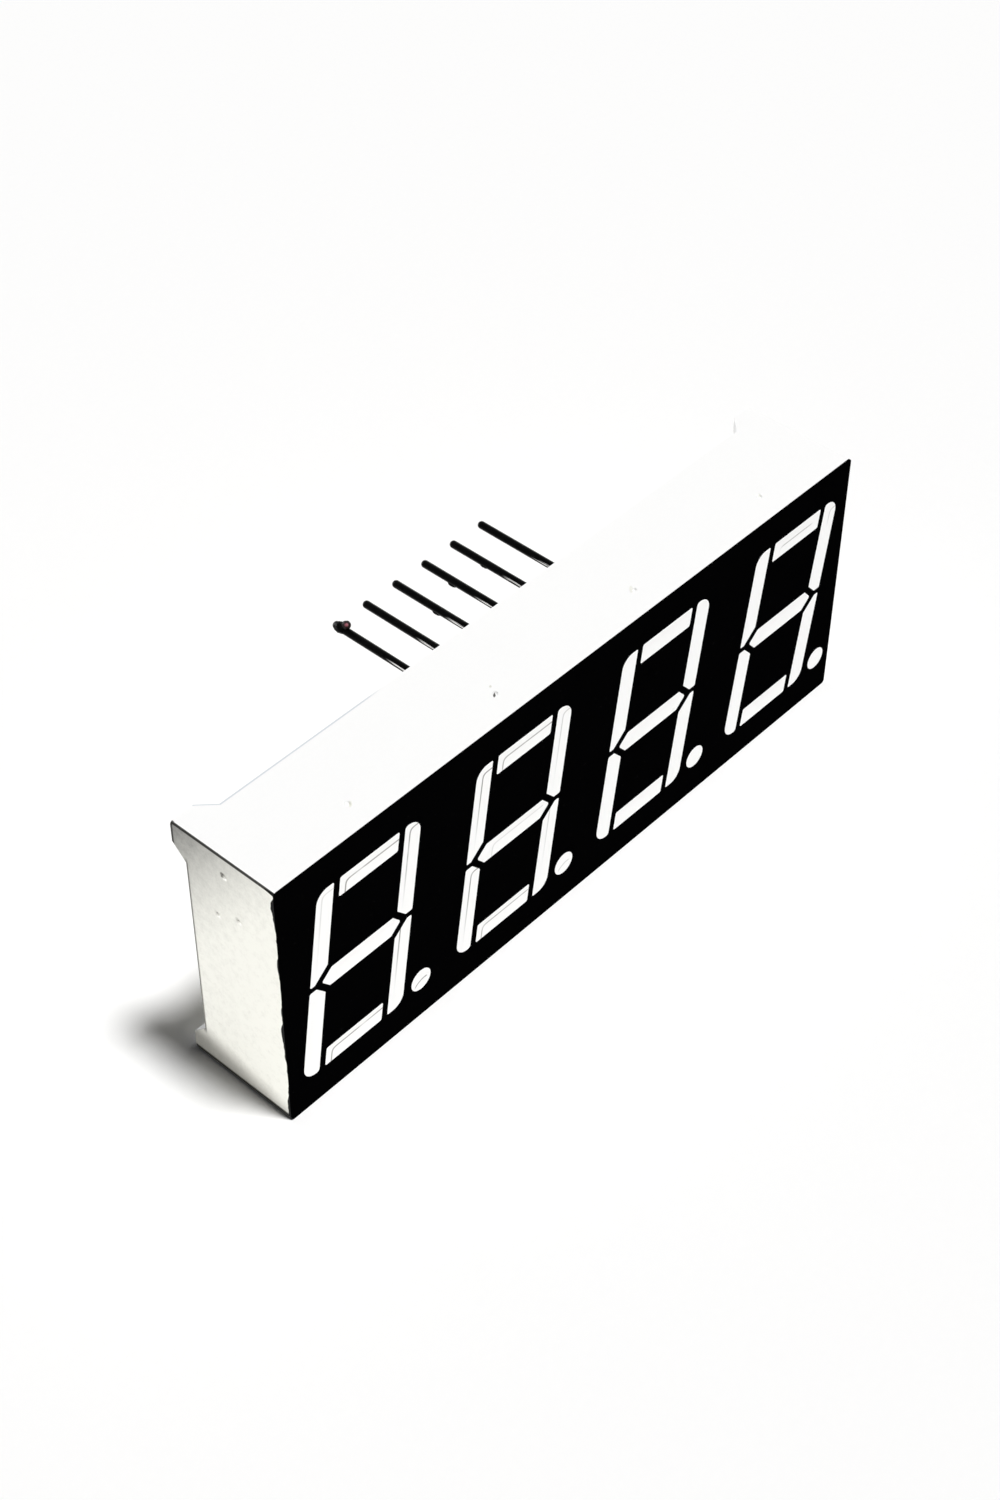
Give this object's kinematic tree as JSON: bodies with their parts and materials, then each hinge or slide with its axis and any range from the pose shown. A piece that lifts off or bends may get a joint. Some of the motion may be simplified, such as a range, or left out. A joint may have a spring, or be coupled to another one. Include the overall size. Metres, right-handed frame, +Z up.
{
  "type": "four-digit seven-segment display",
  "caption": "White block display with a black face, slanted seven-segment digits with decimal points, and two rows of round pins at the back.",
  "frame": {"origin": "middle of the long lower side that the display stands on, half way between the face and the feet", "axes": "+X along the row of digits to the reader's right, -Y out of the face, +Y along the pins, +Z up the digits"},
  "size_m": [0.0504, 0.0144, 0.019],
  "materials": {
    "housing_plastic": "satin white moulding with a few small marks",
    "face_ink": "matt black film",
    "light_resin": "milky cast resin",
    "board_laminate": "bare laminate with a pale green cast",
    "chip": "sawn semiconductor",
    "bond_wire": "bright drawn wire",
    "pin_metal": "dark tarnished plating",
    "solder": "dull tin solder",
    "potting_resin": "milky cast resin"
  },
  "bodies": {
    "root": {"reflector_housing": "housing_plastic", "face_mask": "face_ink", "digit_1_decimal_point": "light_resin", "digit_1_segment_a": "light_resin", "digit_1_segment_b": "light_resin", "digit_1_segment_c": "light_resin", "digit_1_segment_d": "light_resin", "digit_1_segment_e": "light_resin", "digit_1_segment_f": "light_resin", "digit_1_segment_g": "light_resin", "digit_2_decimal_point": "light_resin", "digit_2_segment_a": "light_resin", "digit_2_segment_b": "light_resin", "digit_2_segment_c": "light_resin", "digit_2_segment_d": "light_resin", "digit_2_segment_e": "light_resin", "digit_2_segment_f": "light_resin", "digit_2_segment_g": "light_resin", "digit_3_decimal_point": "light_resin", "digit_3_segment_a": "light_resin", "digit_3_segment_b": "light_resin", "digit_3_segment_c": "light_resin", "digit_3_segment_d": "light_resin", "digit_3_segment_e": "light_resin", "digit_3_segment_f": "light_resin", "digit_3_segment_g": "light_resin", "digit_4_decimal_point": "light_resin", "digit_4_segment_a": "light_resin", "digit_4_segment_b": "light_resin", "digit_4_segment_c": "light_resin", "digit_4_segment_d": "light_resin", "digit_4_segment_e": "light_resin", "digit_4_segment_f": "light_resin", "digit_4_segment_g": "light_resin", "circuit_board": "board_laminate", "digit_1_chips": "chip", "digit_2_chips": "chip", "digit_3_chips": "chip", "digit_4_chips": "chip", "digit_1_bond_wires": "bond_wire", "digit_2_bond_wires": "bond_wire", "digit_3_bond_wires": "bond_wire", "digit_4_bond_wires": "bond_wire", "pin_1": "pin_metal", "pin_2": "pin_metal", "pin_3": "pin_metal", "pin_4": "pin_metal", "pin_5": "pin_metal", "pin_6": "pin_metal", "pin_7": "pin_metal", "pin_8": "pin_metal", "pin_9": "pin_metal", "pin_10": "pin_metal", "pin_11": "pin_metal", "pin_12": "pin_metal", "solder_joints": "solder", "potting": "potting_resin"}
  },
  "joints": []
}
